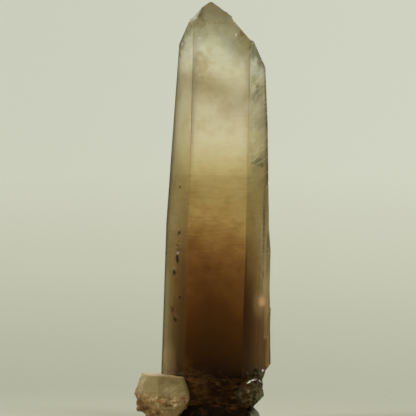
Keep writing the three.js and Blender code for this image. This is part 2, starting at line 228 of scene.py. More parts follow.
# %% Breaks and lumps
FOOT_LUMPS = [  # middle, half sizes, seed, faces
    ((8.6, -5.6, 7.6), (3.5, 3.3, 3.5), 71, 160), ((10.2, -3.0, 6.9), (2.2, 2.6, 2.6), 73, 60),
    ((7.4, -6.6, 6.0), (2.2, 2.0, 2.1), 79, 60), ((10.9, 0.2, 8.6), (1.0, 2.2, 2.5), 83, 30),
    ((11.6, 0.6, 11.2), (0.9, 1.7, 1.2), 84, 24), ((10.2, -1.6, 11.6), (1.3, 1.2, 1.0), 86, 24),
    ((5.4, -7.5, 8.3), (1.4, 0.6, 1.6), 89, 24), ((3.2, -7.6, 6.3), (1.8, 0.5, 1.4), 97, 24),
    ((0.4, -7.6, 5.3), (2.0, 0.5, 1.1), 101, 24), ((8.0, -5.7, 11.3), (0.8, 0.7, 0.8), 103, 24),
    ((9.6, 4.2, 6.4), (2.5, 2.9, 2.6), 107, 30), ((4.0, 9.0, 6.0), (3.0, 1.5, 2.2), 109, 30),
    ((-4.0, 8.8, 5.6), (2.6, 1.6, 1.8), 113, 30),
]
BROKEN_CORNER = np.array([
    upright_face((-1, 0.03, 0.05), (11.8, 0, 8)),
    upright_face((-0.7, -0.05, 0.7), (13.94, 0, 13.3)),
])
UNDERCUT = np.array([upright_face((-0.71, 0.05, 0.7), (10.1, 0, 4.0))])


def lump_faces(middle, half, seed, count):
    """Flat faces that touch an egg shape of the given half sizes at seeded places."""
    spots = np.random.default_rng(seed).normal(size=(count, 3))
    spots /= np.linalg.norm(spots, axis=1, keepdims=True)
    half = np.array(half, float)
    return np.array([upright_face(s / half, np.array(middle) + s * half) for s in spots])


print(len(FOOT_LUMPS), "lumps at the foot, the knob first")

# %% [markdown]
# ## Seeded roughness
# Natural surfaces are never quite even. This value noise gives each corner of a lattice a
# seeded number and blends the eight corners round a point smoothly, all as whole arrays.


# %% Lattice noise
STRIDES = (73856093, 19349663, 83492791)  # large primes that scatter the lattice's corners
SEED_STRIDE = 2654435761
SCRAMBLE = 1274126177


def lattice_noise(points, seed=0):
    """Smooth seeded noise from -1 to 1: the eight lattice values round a point, blended."""
    cell = np.floor(points).astype(np.int64)
    part = points - cell
    part = part * part * (3 - 2 * part)
    total = np.zeros(points.shape[:-1])
    for corner in np.ndindex(2, 2, 2):
        x, y, z = np.moveaxis((cell + corner) * STRIDES, -1, 0)
        key = x ^ y ^ z ^ (seed * SEED_STRIDE)
        key = ((key ^ (key >> 13)) * SCRAMBLE) & 0x7FFFFFFF
        value = ((key ^ (key >> 16)) & 0xFFFF) / (0xFFFF / 2) - 1
        weight = np.prod(np.where(np.array(corner) == 1, part, 1 - part), -1)
        total += value * weight
    return total


def layered_noise(points, seed=0, octaves=3):
    """Lattice noise at doubling fineness and halving strength, scaled to about -1 to 1."""
    total = sum(lattice_noise(points * 2**k, seed + k) / 2**k for k in range(octaves))
    return total / (2 - 2 ** (1 - octaves))


def bumps(points, size, seed, octaves, height):
    """Layered noise with features about size millimetres wide, times a height."""
    return layered_noise(points / size, seed, octaves) * height


two_points = np.array([[0.3, 0.2, 0.1], [1.3, 0.2, 0.1]])
print("noise at two points:", layered_noise(two_points).round(3))

# %% [markdown]
# ## The quartz surface
# Rows climb the axis, closer together where there is more to show: the foot, the pits and
# the tip. Columns are shared out between the six corners of the prism at each height, so
# a column always runs exactly along each long edge and keeps it sharp.

# %% The quartz grid
ROOT = 3.45
TIP_END = 99.97
ROWS = np.concatenate([
    np.arange(ROOT, 14, 0.15), np.arange(14, 60, 0.26),
    np.arange(60, 82, 0.4), np.arange(82, TIP_END, 0.09), [TIP_END],
])
COLUMNS = [46, 22, 20, 22, 40, 36]  # right, back right, back, back left, left, front
GRID_CENTRE = np.array([0.4, -0.4])
CENTRE_TURNS = 78.0  # above this the grid's centre moves over to the apex
SLIM_PROUD = 0.02  # a slim crystal counts where it stands out this far


def side_reaches(height):
    """Reach of each of the six sides at each height: the nearer of its two planes."""
    flat = {0: FRONT_REACH, 60: SIDE_REACH, 300: SIDE_REACH}
    rows = []
    for azimuth in range(0, 360, 60):
        if azimuth in flat:
            rows.append(np.full_like(height, flat[azimuth]))
        else:
            rows.append(np.minimum.reduce([
                reach - height * math.tan(math.radians(taper))
                for a, reach, taper in TAPERED_FACES if a == azimuth
            ]))
    return np.stack(rows, 1)


def prism_corners(height):
    """Where neighbouring sides meet at each height: (rows, 6, 2)."""
    reach = side_reaches(height)
    normals = np.array([outward(a)[:2] for a in range(0, 360, 60)])
    corners = []
    for k in range(6):
        pair = np.array([normals[k], normals[(k + 1) % 6]])
        ends = np.stack([reach[:, k], reach[:, (k + 1) % 6]], 1)
        corners.append(ends @ np.linalg.inv(pair).T)
    return np.stack(corners, 1)


def grid_centre(height):
    """The line the grid looks out from: near the axis, then over to the apex."""
    share = np.clip((height - CENTRE_TURNS) / (APEX[2] - CENTRE_TURNS), 0, 1)[:, None]
    return GRID_CENTRE + (APEX[:2] - GRID_CENTRE) * share


def quartz_radius(start, ray):
    """Distance to the crystal's surface along each ray, and where slim crystals stand."""
    _, radius = meet(prism_faces(), start, ray)
    radius = joined(radius, shoulder_faces(), start, ray)
    bare = radius
    for one in SLIVERS:
        radius = joined(radius, sliver_faces(*one), start, ray)
    slim = (radius > bare + SLIM_PROUD).astype(float)
    radius = cut(radius, BROKEN_CORNER, start, ray)
    for one in FOOT_LUMPS:
        radius = joined(radius, lump_faces(*one), start, ray)
    return cut(radius, UNDERCUT, start, ray), slim


# %% What the surface shows: rough foot, relief, pits and edges
ROUGH_TOP = 9.6  # the rough foot ends about here, higher on the right
ROUGH_FADE = 1.6
PIT_BACK = 2.0  # no pit lies farther back than this
ON_FACE = 0.03  # a point this near to a face lies on it
NARROW_LOW = 88.0  # the narrow tip faces begin above this height


def rough_foot(points):
    """How rough the surface is, 0 to 1: from the foot up, and higher on the right."""
    edge = ROUGH_TOP + np.clip(points[..., 0] - 5, 0, 4) * 0.8 + bumps(points, 2.2, 21, 3, 1.6)
    return np.clip((edge - points[..., 2]) / ROUGH_FADE, 0, 1)


def relief(points):
    """Height in millimetres: a slow swell of the faces, and the chunks of the rough foot."""
    swell = bumps(points, 7.0, 31, 2, 0.02)
    chunks = bumps(points, 1.1, 35, 4, 0.26) - 0.1
    chunks = chunks * np.clip((points[..., 0] - 2) / 5, 0.3, 1)
    return swell + chunks * rough_foot(points)


def pits(points):
    """The etched pits, 0 to 1: a ragged bell round each pit's middle."""
    ragged = points + bumps(points, 0.5, 41, 2, 0.16)[..., None]
    bell = np.zeros(points.shape[:-1])
    for across, along, wide, tall in PITS:
        aside = (ragged[..., 0] + across) / (wide * 0.9)
        up = (ragged[..., 2] - along) / (tall * 0.8)
        bell = np.maximum(bell, np.exp(-(aside**2 + up**2) ** 2))
    return bell * (points[..., 1] < PIT_BACK)


def edge_distance(points):
    """Millimetres to the nearest crystal edge: room to the next face, over sin 60."""
    faces = prism_faces()
    room = np.sort(np.abs(faces[:, 3] - points @ faces[:, :3].T), -1)[..., 1]
    return room / math.sin(math.radians(60))


def narrow_tips(points):
    """1 on the two narrow tip faces beside the front one, 0 elsewhere."""
    near = np.zeros(points.shape[:-1])
    for azimuth, past in ((60, PAST_APEX_RIGHT), (300, PAST_APEX_LEFT)):
        normal = outward(azimuth, TIP_RISE)
        room = normal @ APEX + past - points @ normal
        near = np.maximum(near, room < ON_FACE)
    return near * (points[..., 2] > NARROW_LOW)


# %% Columns, rows and the closed mesh
CROWDING = 0.1  # how much the columns crowd at the long edges
SLIVER_STRIP = (8.2, 13.0)  # along the right face, from its front edge
COLUMNS_BEFORE_SLIVERS = 14
LEAST_STEP = 0.004  # share of the face left to each column past its end
PIT_DEPTH = 0.06


def sliver_columns(count, width):
    """Shares of the right face's width: upright columns, close together at the slivers."""
    few = COLUMNS_BEFORE_SLIVERS
    near = np.linspace(0, SLIVER_STRIP[0], few, endpoint=False)
    fixed = np.concatenate([near, np.linspace(*SLIVER_STRIP, count - few)])
    room = 1 - (count - np.arange(count)) * LEAST_STEP
    return np.minimum(fixed / width, room)


def quartz_points():
    """The grid of surface points, rows by columns, in millimetres in the upright frame."""
    corners = prism_corners(ROWS)
    centre = grid_centre(ROWS)
    sides = []
    for k, count in enumerate(COLUMNS):
        start, end = corners[:, k, None], corners[:, (k + 1) % 6, None]
        share = np.arange(count) / count
        share = np.tile(share - CROWDING * np.sin(2 * np.pi * share), (len(ROWS), 1))
        if k == 0:
            share = sliver_columns(count, np.linalg.norm(end - start, axis=-1))
        sides.append(start + (end - start) * share[..., None])
    ray = np.concatenate(sides, 1) - centre[:, None, :]
    ray /= np.linalg.norm(ray, axis=-1, keepdims=True)
    ray = np.concatenate([ray, np.zeros((*ray.shape[:2], 1))], -1)
    start = np.concatenate([centre, ROWS[:, None]], 1)[:, None, :]
    radius, slim = quartz_radius(start, ray)
    points = start + ray * radius[..., None]
    fields = {
        "slim": slim, "pit": pits(points), "edge": edge_distance(points),
        "rough": rough_foot(points), "narrow": narrow_tips(points),
    }
    radius = radius + relief(points) - PIT_DEPTH * fields["pit"]
    return (start + ray * radius[..., None]) @ TO_CRYSTAL, fields


def closed_grid(name, points):
    """A closed mesh from a grid of points in millimetres, with a pole at each end."""
    rows, columns = points.shape[:2]
    poles = np.stack([points[0].mean(0), points[-1].mean(0)])
    vertices = np.concatenate([points.reshape(-1, 3), poles]) * MM
    here = np.arange(rows * columns).reshape(rows, columns)
    right = np.roll(here, -1, 1)
    quads = np.stack([here[:-1], right[:-1], right[1:], here[1:]], -1).reshape(-1, 4)
    low, high = rows * columns, rows * columns + 1
    foot = np.stack([right[0], here[0], np.full(columns, low)], -1)
    top = np.stack([here[-1], right[-1], np.full(columns, high)], -1)
    mesh = bpy.data.meshes.new(name)
    mesh.from_pydata(vertices.tolist(), [], [*quads.tolist(), *foot.tolist(), *top.tolist()])
    mesh.validate()
    return add_object(name, mesh)


def add_fields(piece, fields):
    """Stores each field as a number on every vertex, the two poles included."""
    for name, field in fields.items():
        values = np.concatenate([field.ravel(), [field[0].mean(), field[-1].mean()]])
        made = piece.data.attributes.new(name, "FLOAT", "POINT")
        made.data.foreach_set("value", values.astype(np.float32))


points, fields = quartz_points()
quartz = closed_grid("quartz_crystal", points)
add_fields(quartz, fields)
print("quartz surface:", len(quartz.data.polygons), "faces, fields:", list(fields))

# %% [markdown]
# ## Feldspar and rock
# Both are rough stones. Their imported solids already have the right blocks, cleavage steps
# and lumps, so a merged copy of each is given an even skin and then roughened by noise
# along its normals: gently on the feldspar's smooth upper faces, strongly elsewhere.


# %% Roughened stones
SAME_PLACE = 1e-7  # metres between corners that are one


def even_copy(node, name, skin, wear):
    """A merged copy of a CAD node's mesh, remeshed with small even faces, its edges worn."""
    mesh = bpy.data.meshes.new(name)
    work = bmesh.new()
    work.from_mesh(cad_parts[node].data)
    bmesh.ops.remove_doubles(work, verts=work.verts, dist=SAME_PLACE)
    work.to_mesh(mesh)
    work.free()
    piece = add_object(name, mesh)
    remesh = piece.modifiers.new("even skin", "REMESH")
    remesh.mode = "VOXEL"
    remesh.voxel_size = skin * MM
    soften = piece.modifiers.new("worn edges", "SMOOTH")
    soften.iterations = wear
    bpy.context.view_layer.objects.active = piece
    bpy.ops.object.modifier_apply(modifier=remesh.name)
    bpy.ops.object.modifier_apply(modifier=soften.name)
    return piece


def mesh_arrays(piece):
    """Vertex places in millimetres and vertex normals, as arrays."""
    count = len(piece.data.vertices)
    places, normals = np.empty(count * 3), np.empty(count * 3)
    piece.data.vertices.foreach_get("co", places)
    piece.data.vertices.foreach_get("normal", normals)
    return places.reshape(-1, 3) / MM, normals.reshape(-1, 3)


def set_places(piece, places):
    """Moves the vertices to new places given in millimetres."""
    piece.data.vertices.foreach_set("co", (places * MM).ravel())
    piece.data.update()


def keep_inside(places, node):
    """Holds the places inside the CAD node's box, and flat on the base."""
    low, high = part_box(node)
    return np.clip(places, np.array(low) / MM, np.array(high) / MM)


SMOOTH_ABOVE = 8.2  # the feldspar's clean faces begin here
RIGHT_END = -11.6  # across, where its worn right end begins
feldspar = even_copy("feldspar_crystal", "feldspar_block", skin=0.16, wear=20)
places, normals = mesh_arrays(feldspar)
rough = np.clip((SMOOTH_ABOVE - places[:, 2]) / 2.5, 0.05, 1.0)
rough = np.maximum(rough, np.clip((places[:, 0] - RIGHT_END) / 1.2, 0, 0.35))
lumps = bumps(places, 0.9, 5, 4, 0.26) + bumps(places, 0.4, 17, 3, 0.08)
ledges = bumps(places, [2.0, 2.0, 0.9], 15, 2, 0.4)
moved = places + normals * ((lumps + ledges - 0.12) * rough)[:, None]
set_places(feldspar, keep_inside(moved, "feldspar_crystal"))
print("feldspar surface:", len(feldspar.data.polygons), "faces")

rock = even_copy("dark_matrix", "rock_foot", skin=0.2, wear=4)
places, normals = mesh_arrays(rock)
lumps = bumps(places, 0.8, 9, 4, 0.3) + 0.05
set_places(rock, keep_inside(places + normals * lumps[:, None], "dark_matrix"))
print("rock surface:", len(rock.data.polygons), "faces")

# %% [markdown]
# ## Shader maths in Python
# A small class wraps a socket, so that masks are written as sums and products, and each
# operator adds the Math node that would otherwise be placed and linked by hand. Colours
# are given in steps of 0 to 255, as a paint chart gives them, and turned into light here.


# %% Colours and places
def linear(red, green, blue):
    """A colour of 0 to 255 steps, as the linear light values that shaders use."""
    steps = np.array([red, green, blue]) / 255
    light = np.where(steps <= 0.04045, steps / 12.92, ((steps + 0.055) / 1.055) ** 2.4)
    return tuple(float(v) for v in light)


def rgba(red, green, blue):
    """The same colour with full cover, for a socket."""
    return (*linear(red, green, blue), 1)


def from_axes(x, y, z):
    """The place in metres of an x, y and z in millimetres."""
    return x.shader.node("ShaderNodeCombineXYZ", {}, {0: x * MM, 1: y * MM, 2: z * MM})


# %% A socket with arithmetic
class Wire:
    """A node socket: each operator and method adds a node that reads it."""

    def __init__(self, shader, socket):
        self.shader = shader
        self.socket = socket

    def math(self, operation, *others):
        values = dict(enumerate((self, *others)))
        return self.shader.node("ShaderNodeMath", {"operation": operation}, values)

    def __add__(self, other):
        return self.math("ADD", other)

    def __sub__(self, other):
        return self.math("SUBTRACT", other)

    def __rsub__(self, other):
        return self.shader.node("ShaderNodeMath", {"operation": "SUBTRACT"}, {0: other, 1: self})

    def __mul__(self, other):
        return self.math("MULTIPLY", other)

    def __truediv__(self, other):
        return self.math("DIVIDE", other)

    def __abs__(self):
        return self.math("ABSOLUTE")

    __radd__ = __add__
    __rmul__ = __mul__

    def either(self, other):
        """The larger of two masks."""
        return self.math("MAXIMUM", other)

    def step(self, low, high, to_low=0, to_high=1):
        """A smooth rise from to_low at low to to_high at high."""
        return self.shader.node("ShaderNodeMapRange", {"interpolation_type": "SMOOTHSTEP"}, {
            "Value": self, "From Min": low, "From Max": high, "To Min": to_low, "To Max": to_high,
        })

    def between(self, low, high, soft):
        """1 between two values and 0 outside them, with soft ends."""
        return self.step(low - soft, low + soft) * self.step(high + soft, high - soft)

    def axes(self, scale=1000):
        """The x, y and z of a place, in millimetres when the place is in metres."""
        split = self.shader.node("ShaderNodeSeparateXYZ", {}, {0: self})
        return [Wire(self.shader, output) * scale for output in split.socket.node.outputs]

    def noise(self, scale, detail=3, stretch=(1, 1, 1), shift=(0, 0, 0)):
        """Noise from 0 to 1 on a place in metres, with features about 1/scale long."""
        moved = {"Vector": self, "Scale": stretch, "Location": shift}
        moved = self.shader.node("ShaderNodeMapping", {}, moved)
        values = {"Vector": moved, "Scale": scale, "Detail": detail}
        return self.shader.node("ShaderNodeTexNoise", {}, values)

    def ramp(self, stops):
        """A colour that changes with this value through stops of 0 to 255 steps."""
        stops = [(at, linear(*colour)) for at, *colour in stops]
        return self.shader.node("ShaderNodeValToRGB", {"stops": stops}, {"Fac": self})

    def mix(self, first, second, blend="MIX"):
        """Two colours blended by this share."""
        return self.shader.mix(self, first, second, blend)

    def stain_and_shade(self, share, stain_and_shade):
        """This colour times a darker colour of 0 to 255 steps, as far as the share says; used for
        stains and for painted shade.
        """
        return share.mix(self, rgba(*stain_and_shade), "MULTIPLY")

    def bump(self, distance, strength=1):
        """A bumped normal from this height of 0 to 1, with the real depth in metres."""
        values = {"Height": self, "Distance": distance, "Strength": strength}
        return self.shader.node("ShaderNodeBump", {}, values)

    def blend(self, first, second):
        """Two finishes blended by this share."""
        return self.shader.node("ShaderNodeMixShader", {}, {0: self, 1: first, 2: second})


# %% A node tree
class Shader:
    """A node tree for a material or a world, built by one method that adds any node."""

    def __init__(self, owner):
        owner.use_nodes = True
        self.tree = owner.node_tree
        self.tree.nodes.clear()

    def node(self, kind, settings=None, values=None, out=0):
        """Adds a node, applies its settings first, then its values or links."""
        made = self.tree.nodes.new(kind)
        for key, setting in (settings or {}).items():
            if key == "stops":
                for _ in setting[2:]:
                    made.color_ramp.elements.new(0.5)
                for element, (at, colour) in zip(made.color_ramp.elements, setting):
                    element.position = at
                    element.color = (*colour, 1)
            else:
                setattr(made, key, setting)
        for key, value in (values or {}).items():
            if isinstance(value, Wire):
                self.tree.links.new(value.socket, made.inputs[key])
            else:
                made.inputs[key].default_value = value
        return Wire(self, made.outputs[out])

    def place(self):
        """The point being shaded, in the object's own coordinates, in metres."""
        return self.node("ShaderNodeTexCoord", out="Object")

    def field(self, name):
        """A number stored on the piece's own vertices."""
        return self.node("ShaderNodeAttribute", {"attribute_name": name}, out="Fac")

    def mix(self, share, first, second, blend="MIX"):
        """Two colours blended by a share."""
        settings = {"data_type": "RGBA", "blend_type": blend}
        return self.node("ShaderNodeMix", settings, {"Factor": share, 6: first, 7: second}, 2)

    def principled(self, **values):
        """The Principled shader; underscores in a name stand for spaces."""
        named = {key.replace("_", " "): value for key, value in values.items()}
        return self.node("ShaderNodeBsdfPrincipled", {}, named)

    def finish(self, surface, volume=None, kind="ShaderNodeOutputMaterial"):
        """Links the surface, and the volume if there is one, to the output."""
        made = self.tree.nodes.new(kind)
        self.tree.links.new(surface.socket, made.inputs["Surface"])
        if volume is not None:
            self.tree.links.new(volume.socket, made.inputs["Volume"])


def height_stops(stops):
    """Stops given in millimetres of height, as shares of 100 mm."""
    return [(height / 100, *colour) for height, *colour in stops]


print("mid grey as light:", round(linear(128, 128, 128)[0], 3))

# %% [markdown]
# ## Smoky quartz
# The real crystal is clear and milky at the tip, honey in the middle and dark brown at the
# foot. Light enters and leaves through the surface, so the colour of the surface tints it
# on the way; an even, weak absorption adds the depth. Where less crystal lies behind the
# surface, near the two upright edges, the tint is paler.
# Bands and stains follow the growth of the crystal, so they are set out along its own axes.

# %% The quartz's colours
DEEP_TINT = height_stops([  # through the whole depth, behind the front face
    (0, 26, 10, 3), (11, 42, 18, 4), (17.5, 62, 35, 10), (27, 88, 53, 22),
    (31.8, 112, 71, 33), (36.5, 124, 83, 43), (41, 150, 104, 57), (46, 180, 140, 80),
    (50.5, 216, 184, 120), (54, 202, 176, 114), (61.5, 228, 208, 154), (68, 244, 233, 204),
    (74, 232, 221, 194), (79, 193, 178, 139), (83, 240, 232, 206), (89, 229, 226, 204),
    (92.3, 232, 234, 210), (94.5, 204, 198, 164), (97, 190, 178, 140), (100, 186, 178, 138),
])
SIDE_TINT = height_stops([  # behind the two side faces
    (0, 80, 54, 20), (17.5, 106, 79, 26), (27, 118, 88, 36), (36.5, 129, 97, 46),
    (46, 161, 137, 79), (54, 173, 151, 88), (61.5, 204, 187, 126), (70, 226, 217, 172),
    (75.5, 220, 213, 180), (79, 182, 172, 128), (83, 240, 238, 216), (86, 252, 254, 250),
    (92, 220, 220, 196), (100, 190, 180, 140),
])
EDGE_TINT = height_stops([  # through the thin outer edges
    (0, 196, 168, 116), (17.5, 255, 252, 206), (27, 255, 250, 196), (36.5, 240, 235, 186),
    (41, 232, 232, 190), (46, 218, 218, 188), (54, 200, 192, 144),
    (61.5, 165, 149, 104), (70, 200, 195, 154),
    (79, 212, 205, 168), (83, 248, 243, 218), (88, 206, 207, 190), (100, 200, 190, 150),
])
FACE_EDGE = (6.7, 6.9)  # across, where the front face gives way to a side face
GROWTH_LINE = 59  # height where a clear band of growth ends
STAINS = [  # across, along, half width, half height, colour
    (-4.8, 85, 2, 4.2, 216, 203, 172), (4.6, 92.4, 0.7, 0.8, 230, 210, 172),
    (6.2, 90.4, 0.3, 0.45, 232, 212, 180), (9.5, 62.3, 1.7, 1.3, 130, 134, 108),
    (9, 81.2, 2.2, 1.5, 204, 204, 178), (8.4, 78.4, 1.4, 2.6, 200, 208, 190),
    (-10, 90.6, 1.4, 4.4, 176, 172, 138), (-8.4, 93.4, 1.4, 2.8, 196, 192, 160),
    (-5.6, 97, 1.5, 2.6, 176, 166, 130), (5.4, 90.2, 2.8, 4.4, 214, 206, 170),
    (-5.4, 94.6, 2.2, 1.8, 222, 212, 180), (8.8, 88.4, 2.8, 3.2, 150, 156, 132),
    (9.2, 79.4, 2.4, 1.6, 200, 204, 184),
]
CLEARER = [  # paler: across, along, half width and height, share
    (-5.2, 87, 2.2, 6, 0.6), (3.6, 77.4, 2.6, 2.4, 0.25), (5.6, 86, 1.8, 2.4, 0.6),
    (-8.4, 85.4, 1.6, 3, 0.6), (11.3, 43.5, 1.1, 8, 0.6), (7.8, 75.8, 2.6, 2.4, 0.4),
]
# two dark lines on the right face
DARK_LINES = [(11.25, 35, 51.5), (12.15, 35, 45)]  # across, low end, high end


# %% Patches, bands and edges
def patch(across, along, middle, half, ragged=0):
    """A soft round patch on the front and sides: 1 at its middle, 0 past its half sizes."""
    aside = (across - middle[0]) / half[0]
    up = (along - middle[1]) / half[1]
    return (aside * aside + up * up + ragged).step(1, 0)


def patches(across, along, table, ragged=0):
    """The soft patches of a table, each times its own share."""
    return [
        patch(across, along, (aside, up), (wide, tall), ragged) * share
        for aside, up, wide, tall, share in table
    ]


def growth_streaks(along, grain):
    """Short level streaks in the honey-coloured middle, paler and darker, in millimetres."""
    streak = grain.noise(1500, 4, (0.35, 0.35, 1), (0.3, 0.1, 0)) - 0.5
    broad = grain.noise(420, 3, (0.7, 0.7, 1), (0, 0.6, 0.2)) - 0.5
    middle = (streak * 11 + broad * 12) * along.between(28, 58, 5)
    mottle = (grain.noise(800, 4, (1, 1, 0.8)) - 0.5) * 26
    return middle + mottle * along.step(15, 9)


def bands_and_edges(across, along, fields, grain):
    """The height bands, each face with its own depth of colour, and the marked edges: a painted
    highlight and a painted shadow line at the front edges, painted shade along the outer edges.
    """
    aside = abs(across)
    tilt = along.step(66, 76, 0, 0.32) + along.step(60, 50, 0, 0.22)
    cloud = grain.noise(90, 4)
    level = along + across * tilt + (cloud - 0.5) * 5
    level = level + growth_streaks(along, grain)
    paler = across.step(-3, 3, 5, 3) * along.step(40, 28)
    outwards = aside / HALF_FRONT
    level = level + outwards * outwards * paler
    level = level + patch(across, along, (-6.8, 9), (3.2, 9)) * 13
    front_edge = fields["edge"].step(0.32, 0.06) * aside.between(6.2, 7.4, 0.2)
    # painted highlight: a paler line along the front edges, 18 to 60 mm up
    painted_edge_highlight = front_edge * along.between(18, 60, 6)
    level = (level + painted_edge_highlight * across.step(-6, 6, 2.5, 6)) / 100
    side = aside.step(7.6, 11.6).mix(level.ramp(SIDE_TINT), level.ramp(EDGE_TINT))
    right = across.step(*FACE_EDGE) * along.step(37, 24)
    side = side.stain_and_shade(right, (178, 136, 104))
    # painted shadow: a thin darker line just right of the right front edge
    beside = across.between(6.8, 7.4, 0.1) * along.between(18, 42, 4)
    side = side.stain_and_shade(beside * 0.8, (132, 112, 92))
    tint = aside.step(*FACE_EDGE).mix(level.ramp(DEEP_TINT), side)
    below = along.step(GROWTH_LINE + 0.25, GROWTH_LINE - 0.25)
    tint = tint.stain_and_shade(below, (240, 236, 228))
    marked = front_edge * along.step(52, 62)
    edge_line_tint = along.step(70, 82).mix(rgba(250, 214, 136), rgba(206, 190, 142))
    tint = (marked * 0.8).mix(tint, edge_line_tint, "MULTIPLY")
    # painted shade: a darker line along the outer edges of the side faces
    painted_dark_outline = fields["edge"].step(1.2, 0.2) * aside.step(8.4, 9.4)
    tint = tint.stain_and_shade(painted_dark_outline * 0.85, (158, 146, 92))
    # painted shade along the right outer edge, 50 to 80 mm up
    painted_rim_shade = fields["edge"].step(1.9, 0.6) * across.step(8.4, 9.4)
    painted_rim_shade = painted_rim_shade * along.between(50, 80, 5)
    return tint.stain_and_shade(painted_rim_shade * 0.6, (196, 180, 128))


# %% Growth lines, stains and specks
def growth_lines(tint, along, grain):
    """Fine level lines, broken into short lengths."""
    lines = grain.noise(2300, 3, (0.08, 0.08, 1)).step(0.44, 0.66)
    broken = grain.noise(480, 3, (0.5, 0.5, 1)).step(0.42, 0.6, 0.15, 1)
    clear = along.step(63, 55, 0.3, 0.8) * along.step(32, 40, 0.35, 1)
    return tint.stain_and_shade(lines * broken * clear, (228, 210, 184))


def stains_and_specks(tint, across, along, fields, grain):
    """Brown clouds, grey smoke on the right face, dark specks, and the etched pits."""
    ragged = (grain.noise(620, 4) - 0.5) * 3
    cloud = grain.noise(240, 5, (1, 1, 0.8)).step(0.48, 0.72, 0, 0.5)
    cloud = cloud * along.step(76, 84, 1, 0.45)
    tint = tint.stain_and_shade(cloud, (206, 182, 130))
    for here in patches(across, along, CLEARER, ragged * 0.3):
        tint = here.mix(tint, rgba(255, 253, 240))
    tip = along.step(76, 86, 0.25, 0.65)
    mottle = grain.noise(520, 5, shift=(0.1, 0.3, 0.2)).step(0.42, 0.66)
    tint = tint.stain_and_shade(mottle * tip, (224, 218, 192))
    for aside, up, wide, tall, *stain_and_shade in STAINS:
        here = patch(across, along, (aside, up), (wide, tall), ragged)
        tint = tint.stain_and_shade(here, stain_and_shade)
    slant = from_axes(across, 0, along - across * 0.9)
    smoke = slant.noise(230, 5, (0.7, 1, 1.3)).step(0.36, 0.66)
    smoke = smoke * across.step(6.7, 7.3) * along.step(52, 62)
    tint = tint.stain_and_shade(smoke * 0.85, (178, 190, 174))
    thread = slant.noise(210, 4, (0.6, 1, 1.5), (0.4, 0, 0.3)) - 0.5
    thread = abs(thread).step(0.03, 0) * across.step(7, 7.6)
    thread = thread * along.between(58, 86, 4)
    tint = (thread * 0.4).mix(tint, rgba(255, 252, 238))
    speck = grain.noise(1500, 3).step(0.7, 0.76, 0, 0.55)
    tint = tint.stain_and_shade(speck, (140, 96, 50))
    near_line = along.between(94.5, 95.6, 0.3) * across.between(-6, 1, 1.5)
    rusty = grain.noise(2400, 3, shift=(0.7, 0.2, 0.1)).step(0.5, 0.66)
    tint = tint.stain_and_shade(rusty * near_line * 0.8, (214, 160, 110))
    for aside, low, high in DARK_LINES:
        dark_line = abs(across - aside + (along - 43.6) * 0.02)
        dark_line = dark_line.step(0.34, 0.1) * along.between(low, high, 1.5)
        tint = tint.stain_and_shade(dark_line, (58, 50, 26))
    trail = abs(across + 9.2 - (along - 35) * 0.03)
    trail = trail.step(1.3, 0.3) * along.between(24, 47, 2)
    chip = grain.noise(2100, 3, shift=(0.3, 0.8, 0.1)).step(0.55, 0.62)
    tint = tint.stain_and_shade(trail * chip, (96, 74, 38))
    # glitter: small painted highlights along the trail of pits on the left face
    glitter = grain.noise(2300, 3, shift=(0.9, 0.2, 0.6)).step(0.6, 0.67)
    tint = (trail * glitter * 0.8).mix(tint, rgba(255, 226, 150))
    return tint.stain_and_shade(fields["pit"] * 0.5, (96, 74, 38))


def smoky_tint(across, along, fields, grain):
    """The colour of the crystal: bands and edges, growth lines, then stains and specks."""
    tint = bands_and_edges(across, along, fields, grain)
    tint = growth_lines(tint, along, grain)
    tint = stains_and_specks(tint, across, along, fields, grain)
    return (fields["slim"] * 0.7).mix(tint, rgba(250, 240, 190))


# %% [markdown]
# ## The crystal's finish
# Six finishes are blended one over the other. Most of the crystal is rough clear glass.
# Fine veils scatter some light, so a milky glass comes in where they are. The knob and the
# broken foot have a dull mottled crust. The pit floors and two lines on the right face are
# dark brown, and beside the foot a dark brown sheet over the glass is painted shade that dims
# its reflection there. Fresh chipped spots are frosted white and brightened by a painted glow,
# and the same glowing white paints highlights on the narrow faces at the tip and in a crescent
# on the knob. A peach highlight is painted on the right, with a glow of its own. Each but the
# clear glass has a function that says how much of it shows, so that every share can be
# changed by itself.

# %% The dull crust
KNOB = ((8.4, -5.2, 7.1), (3.7, 4, 4.2))  # middle and half sizes: across, depth, along


def mottled_crust(shader, across, along, depth, grain):
    """The dull foot: dark brown with reddish and pale specks, grey-olive on the knob."""
    fine = grain.noise(1000, 5)
    level = grain.noise(1500, 5, (0.45, 0.45, 1))
    dark = level.ramp([
        (0.35, 28, 16, 6), (0.52, 50, 31, 13), (0.64, 66, 44, 20), (0.78, 120, 98, 64),
    ])
    olive = fine.ramp([
        (0.32, 26, 20, 10), (0.45, 74, 66, 40), (0.6, 110, 99, 65), (0.74, 190, 184, 150),
    ])
    spot = zip((across, depth, along), *KNOB)
    aside, inward, up = [(value - middle) / half for value, middle, half in spot]
    knob = (aside * aside + inward * inward + up * up).step(1.2, 0.85)
    end = (across + (fine - 0.5) * 5).step(7.8, 9.6) * along.step(9.5, 11)
    knob = knob.either(end * 0.55)
    shade = (across + (fine - 0.5) * 4).step(8.6, 7)
    olive = (shade * 0.85).mix(olive, rgba(42, 35, 20))
    lit = (across + (fine - 0.5) * 4).step(9.8, 11.4)
    olive = (lit * 0.6).mix(olive, rgba(160, 150, 114))
    ridges = grain.noise(1600, 4, (0.22, 0.22, 1)).step(0.48, 0.6)
    ridges = ridges * along.between(1.5, 5, 0.6) * across.step(6.5, 4.5)
    dark = (ridges * 0.7).mix(dark, rgba(116, 76, 40))
    left = (across + (level - 0.5) * 5).step(1.5, -6.5)
    ochre = level.step(0.42, 0.62).mix(rgba(74, 48, 22), rgba(122, 86, 44))
    dark = (left * 0.9).mix(dark, ochre)
    return shader.principled(
        Base_Color=knob.mix(dark, olive), Roughness=0.5, Specular_IOR_Level=0.02,
        Normal=fine.bump(0.0002, 0.7),
    )


